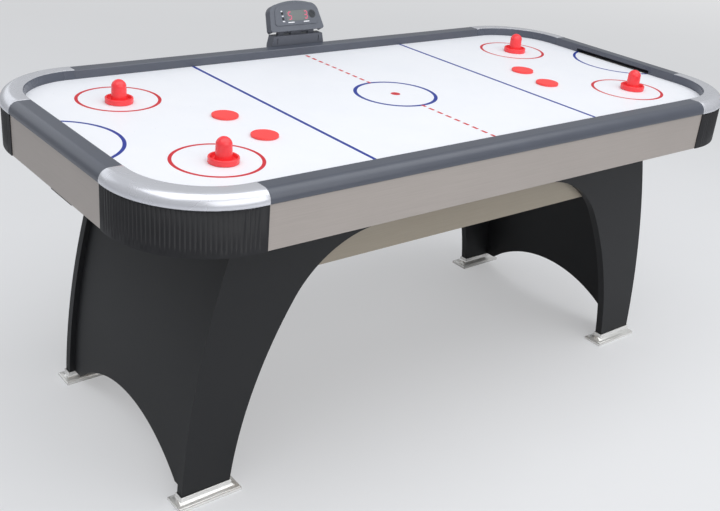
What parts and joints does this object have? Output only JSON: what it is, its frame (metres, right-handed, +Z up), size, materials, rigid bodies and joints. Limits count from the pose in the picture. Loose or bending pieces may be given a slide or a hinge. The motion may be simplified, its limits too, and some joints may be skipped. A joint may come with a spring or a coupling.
{
  "type": "air hockey table",
  "caption": "Air hockey table with bored playfield, railed corners, arched legs, blower, tilting electronic scorer, goal pockets, mallets and pucks.",
  "frame": {"origin": "on the floor, in the middle of the table's box, scorer included", "axes": "+X along the table's length, +Y across it towards the scorer, +Z up"},
  "size_m": [1.8304, 0.9586, 0.9065],
  "materials": {
    "field_laminate": "glossy white laminate on board",
    "rail_foil": "satin slate grey foil on board",
    "cap_silver": "pale silver metallic paint on plastic",
    "apron_laminate": "satin warm silver laminate on board",
    "corner_plastic": "dark grey moulded plastic",
    "leg_laminate": "satin charcoal laminate on board",
    "stretcher_laminate": "satin warm silver laminate on board",
    "foot_silver": "bright polished casting",
    "inner_board": "bare fibreboard",
    "goal_plastic": "black moulded plastic",
    "bolt_steel": "zinc plated steel",
    "blower_plastic": "black moulded plastic",
    "motor_metal": "pressed steel can",
    "impeller_plastic": "dark moulded plastic",
    "power_plastic": "black moulded plastic",
    "rocker_plastic": "red rocker",
    "scorer_plastic": "dark grey moulded plastic",
    "scorer_face_plastic": "mid grey moulded plastic",
    "display_window": "smoked display window",
    "speaker_plastic": "dark grey grille",
    "button_plastic": "black push button",
    "mallet_plastic": "slightly clear coral red plastic",
    "puck_plastic": "slightly clear coral red plastic"
  },
  "bodies": {
    "table": {"rail_back": "rail_foil", "apron_back": "apron_laminate", "rail_front": "rail_foil", "apron_front": "apron_laminate", "rail_right": "rail_foil", "apron_right": "apron_laminate", "rail_left": "rail_foil", "apron_left": "apron_laminate", "corner_cap_back_right": "cap_silver", "corner_panel_back_right": "corner_plastic", "leg_back_right": "leg_laminate", "foot_back_right": "foot_silver", "corner_cap_back_left": "cap_silver", "corner_panel_back_left": "corner_plastic", "leg_back_left": "leg_laminate", "foot_back_left": "foot_silver", "corner_cap_front_left": "cap_silver", "corner_panel_front_left": "corner_plastic", "leg_front_left": "leg_laminate", "foot_front_left": "foot_silver", "corner_cap_front_right": "cap_silver", "corner_panel_front_right": "corner_plastic", "leg_front_right": "leg_laminate", "foot_front_right": "foot_silver", "playfield": "field_laminate", "chamber_wall": "inner_board", "chamber_floor": "inner_board", "joist_left": "inner_board", "joist_right": "inner_board", "batten_back": "inner_board", "batten_front": "inner_board", "goal_box_left": "goal_plastic", "end_panel_left": "leg_laminate", "goal_box_right": "goal_plastic", "end_panel_right": "leg_laminate", "stretcher_front": "stretcher_laminate", "stretcher_back": "stretcher_laminate", "leg_bolts": "bolt_steel", "blower_housing": "blower_plastic", "blower_guard": "blower_plastic", "blower_motor": "motor_metal", "power_panel": "power_plastic", "scorer_bracket": "scorer_plastic", "scorer_pin": "bolt_steel"},
    "scorer_head": {"scorer_shell": "scorer_plastic", "scorer_face": "scorer_face_plastic", "scorer_window": "display_window", "scorer_speaker": "speaker_plastic"},
    "button_upper": {"scorer_button_upper": "button_plastic"},
    "button_lower": {"scorer_button_lower": "button_plastic"},
    "impeller": {"blower_impeller": "impeller_plastic"},
    "rocker": {"power_rocker": "rocker_plastic"},
    "mallet_left_back": {"mallet_left_back": "mallet_plastic"},
    "puck_left_back": {"puck_left_back": "puck_plastic"},
    "mallet_left_front": {"mallet_left_front": "mallet_plastic"},
    "puck_left_front": {"puck_left_front": "puck_plastic"},
    "mallet_right_back": {"mallet_right_back": "mallet_plastic"},
    "puck_right_back": {"puck_right_back": "puck_plastic"},
    "mallet_right_front": {"mallet_right_front": "mallet_plastic"},
    "puck_right_front": {"puck_right_front": "puck_plastic"}
  },
  "joints": [
    {"name": "scorer_tilt", "type": "hinge", "parent": "table", "child": "scorer_head", "pos_m": [0, 0.43294, 0.827], "axis": [1, 0, 0], "range_deg": [-12, 28]},
    {"name": "upper_button_press", "type": "slide", "parent": "scorer_head", "child": "button_upper", "axis": [0, 0.8829, -0.4695], "range_m": [0, 0.0015], "stiffness_N_per_m": 400},
    {"name": "lower_button_press", "type": "slide", "parent": "scorer_head", "child": "button_lower", "axis": [0, 0.8829, -0.4695], "range_m": [0, 0.0015], "stiffness_N_per_m": 400},
    {"name": "impeller_spin", "type": "hinge", "parent": "table", "child": "impeller", "pos_m": [0, -0.02206, 0.68], "axis": [0, 0, 1], "continuous": true},
    {"name": "power_switch", "type": "hinge", "parent": "table", "child": "rocker", "pos_m": [-0.439, 0.42934, 0.7082], "axis": [1, 0, 0], "range_deg": [-8, 8]},
    {"name": "mallet_left_back_slide", "type": "slide", "parent": "table", "child": "mallet_left_back", "axis": [1, 0, 0], "range_m": [-0.1615, 0.633]},
    {"name": "mallet_left_front_slide", "type": "slide", "parent": "table", "child": "mallet_left_front", "axis": [1, 0, 0], "range_m": [-0.1765, 0.618]},
    {"name": "mallet_right_back_slide", "type": "slide", "parent": "table", "child": "mallet_right_back", "axis": [1, 0, 0], "range_m": [-0.621, 0.1735]},
    {"name": "mallet_right_front_slide", "type": "slide", "parent": "table", "child": "mallet_right_front", "axis": [1, 0, 0], "range_m": [-0.64, 0.1545]},
    {"name": "puck_left_back_slide", "type": "slide", "parent": "table", "child": "puck_left_back", "axis": [1, 0, 0], "range_m": [-0.367, 0.462]},
    {"name": "puck_left_front_slide", "type": "slide", "parent": "table", "child": "puck_left_front", "axis": [1, 0, 0], "range_m": [-0.341, 0.454]},
    {"name": "puck_right_back_slide", "type": "slide", "parent": "table", "child": "puck_right_back", "axis": [1, 0, 0], "range_m": [-0.468, 0.361]},
    {"name": "puck_right_front_slide", "type": "slide", "parent": "table", "child": "puck_right_front", "axis": [1, 0, 0], "range_m": [-0.436, 0.393]}
  ]
}
